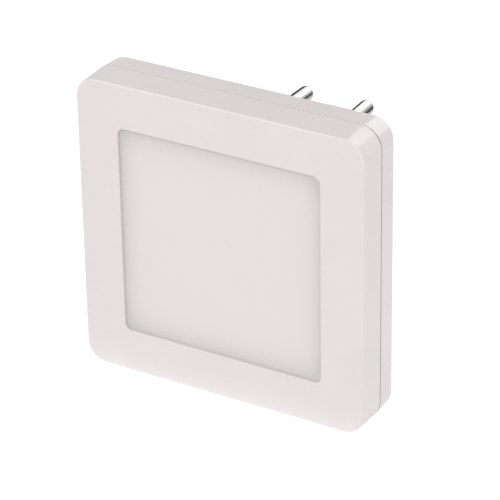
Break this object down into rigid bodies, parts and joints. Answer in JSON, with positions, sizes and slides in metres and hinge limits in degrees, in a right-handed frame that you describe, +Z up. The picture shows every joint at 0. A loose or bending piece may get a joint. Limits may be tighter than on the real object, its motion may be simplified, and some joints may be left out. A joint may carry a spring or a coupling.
{
  "type": "plug in night light",
  "caption": "Flat square night light with a recessed opal window in a rounded frame, on a flat mains plug block with round contact pins.",
  "frame": {"origin": "centre of the plug face, midway between the two contact pins where they leave it", "axes": "+Y out of the plug face into the wall socket, along the pins; -Y towards the room, where the window faces; +Z up; +X right as seen from the room"},
  "size_m": [0.08, 0.0606, 0.08],
  "materials": {
    "housing_plastic": "satin moulding, warm white",
    "opal_plastic": "frosted opal",
    "white_plastic": "bright white moulding",
    "circuit_board": "white solder mask on glass-fibre board",
    "led_package": "white package with a yellow phosphor window",
    "capacitor_case": "yellow potted box",
    "can_sleeve": "dark shrink sleeve on an aluminium can",
    "resistor_coat": "lacquered ceramic",
    "moulding_compound": "black epoxy",
    "chip_ceramic": "black glaze with tinned ends",
    "solder": "bright solder",
    "left_wire_cover": "blue insulation",
    "right_wire_cover": "brown insulation",
    "nickel_plate": "bright nickel plate over brass",
    "sleeve_plastic": "black insulating sleeve",
    "carrier_plastic": "flame-resistant grey-white moulding",
    "screw_steel": "zinc-plated steel"
  },
  "bodies": {
    "root": {"front_frame": "housing_plastic", "rear_shell": "housing_plastic", "diffuser": "opal_plastic", "reflector_tray": "white_plastic", "led_board": "circuit_board", "leds": "led_package", "film_capacitor": "capacitor_case", "smoothing_capacitor": "can_sleeve", "fusible_resistor": "resistor_coat", "bleed_resistor": "resistor_coat", "bridge_rectifier": "moulding_compound", "chip_resistors": "chip_ceramic", "solder_joints": "solder", "left_wire": "left_wire_cover", "right_wire": "right_wire_cover", "left_pin": "nickel_plate", "right_pin": "nickel_plate", "left_pin_sleeve": "sleeve_plastic", "right_pin_sleeve": "sleeve_plastic", "pin_carrier": "carrier_plastic", "carrier_screws": "screw_steel", "housing_screws": "screw_steel"}
  },
  "joints": []
}
